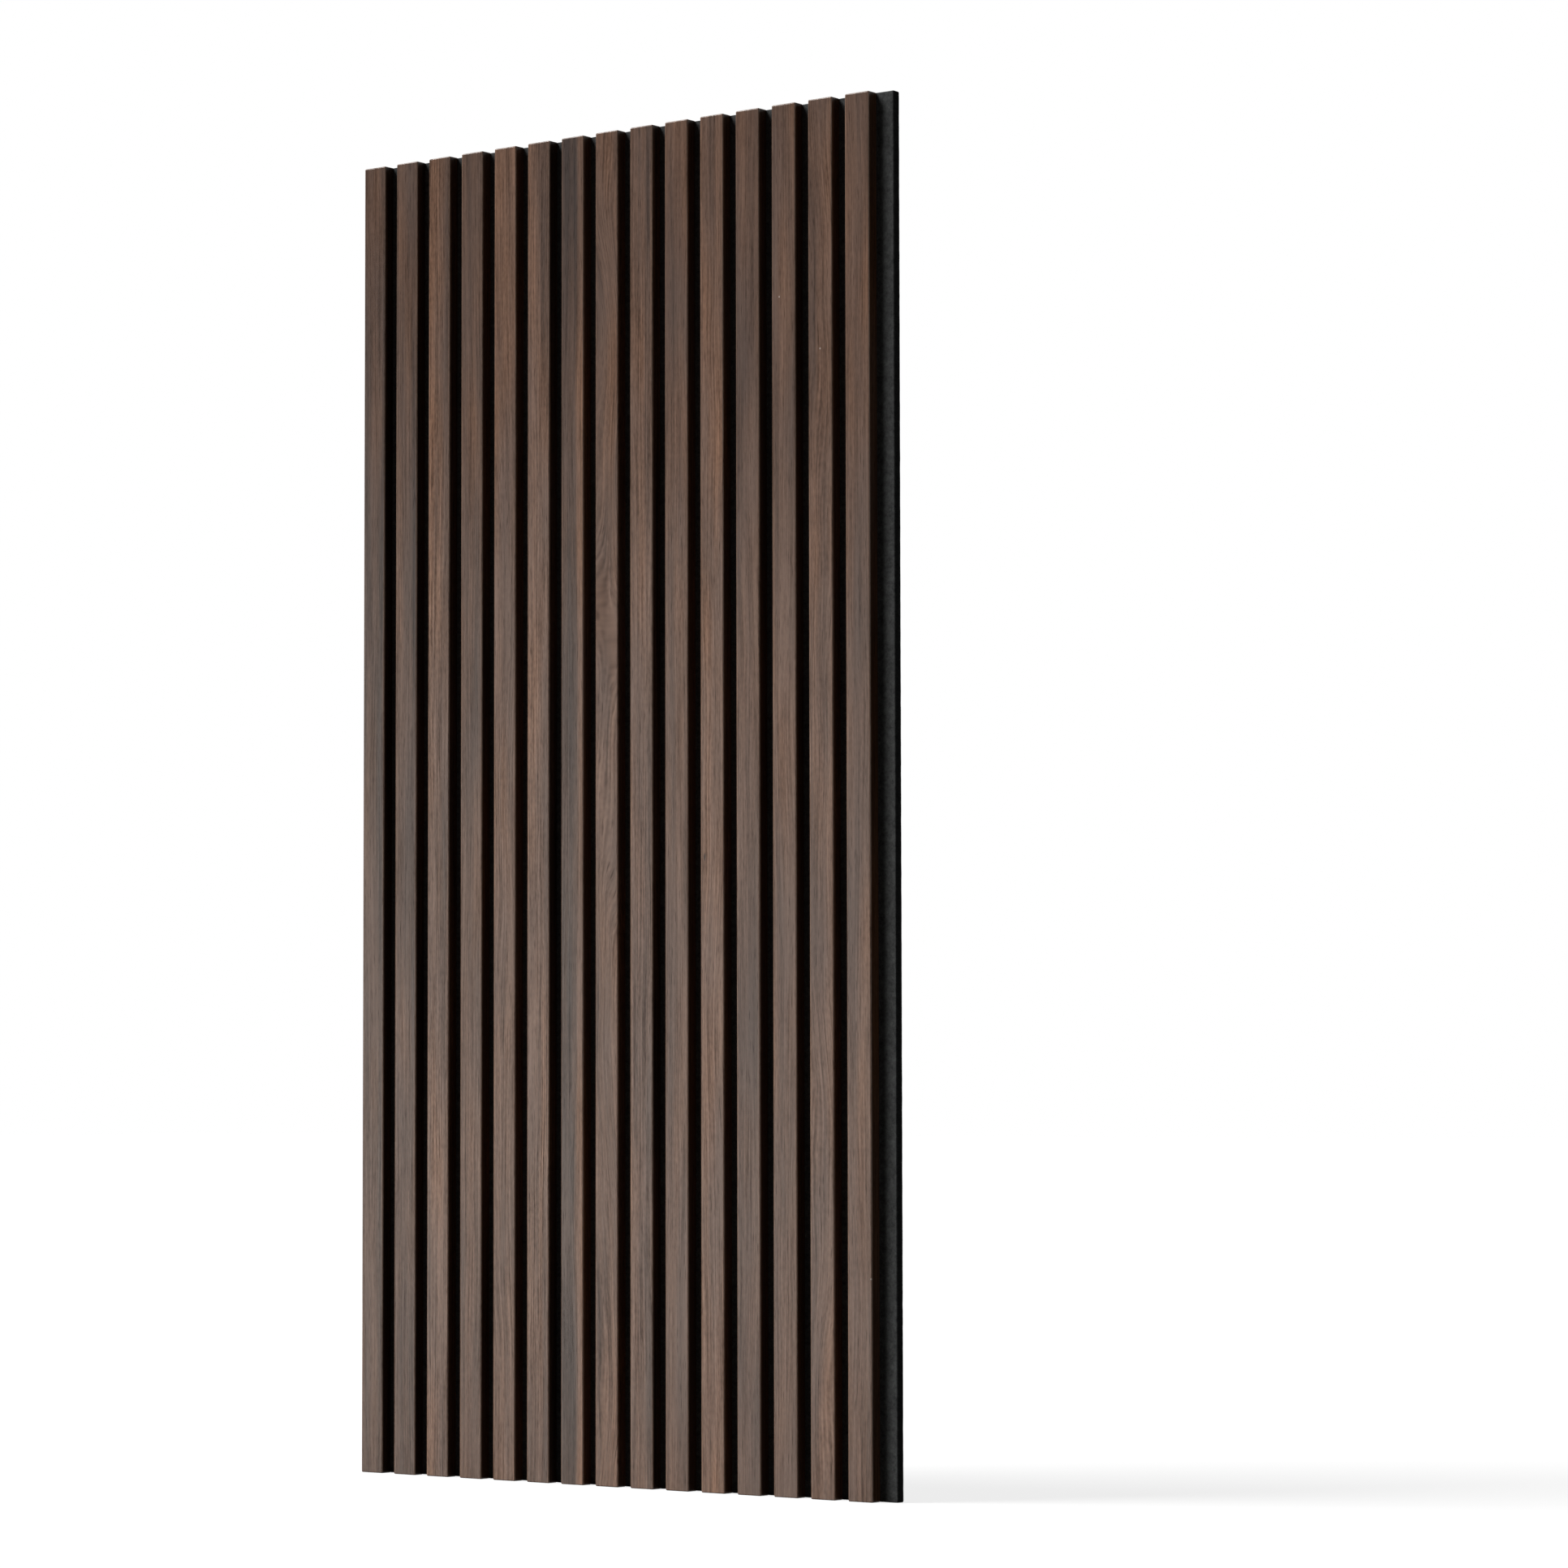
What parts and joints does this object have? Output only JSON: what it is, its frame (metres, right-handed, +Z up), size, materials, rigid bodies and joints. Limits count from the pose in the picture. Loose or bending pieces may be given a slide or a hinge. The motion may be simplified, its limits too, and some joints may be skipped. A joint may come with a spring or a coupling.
{
  "type": "slatted acoustic wall panel",
  "caption": "Upright wall panel of dark walnut-veneered slats in a row on a black felt backing board, with a bare felt lip along one edge for the joint to the next panel.",
  "frame": {"origin": "centre of the felt board's back face, which lies against the wall", "axes": "+X along the width, to the right as seen from the room; +Y into the wall, so the slats face -Y; +Z up along the slats"},
  "size_m": [0.6, 0.02, 1.2],
  "materials": {
    "walnut_veneer": "satin lacquer",
    "black_felt": "pressed felt"
  },
  "bodies": {
    "root": {"felt_board": "black_felt", "slat_01": "walnut_veneer", "slat_02": "walnut_veneer", "slat_03": "walnut_veneer", "slat_04": "walnut_veneer", "slat_05": "walnut_veneer", "slat_06": "walnut_veneer", "slat_07": "walnut_veneer", "slat_08": "walnut_veneer", "slat_09": "walnut_veneer", "slat_10": "walnut_veneer", "slat_11": "walnut_veneer", "slat_12": "walnut_veneer", "slat_13": "walnut_veneer", "slat_14": "walnut_veneer", "slat_15": "walnut_veneer"}
  },
  "joints": []
}
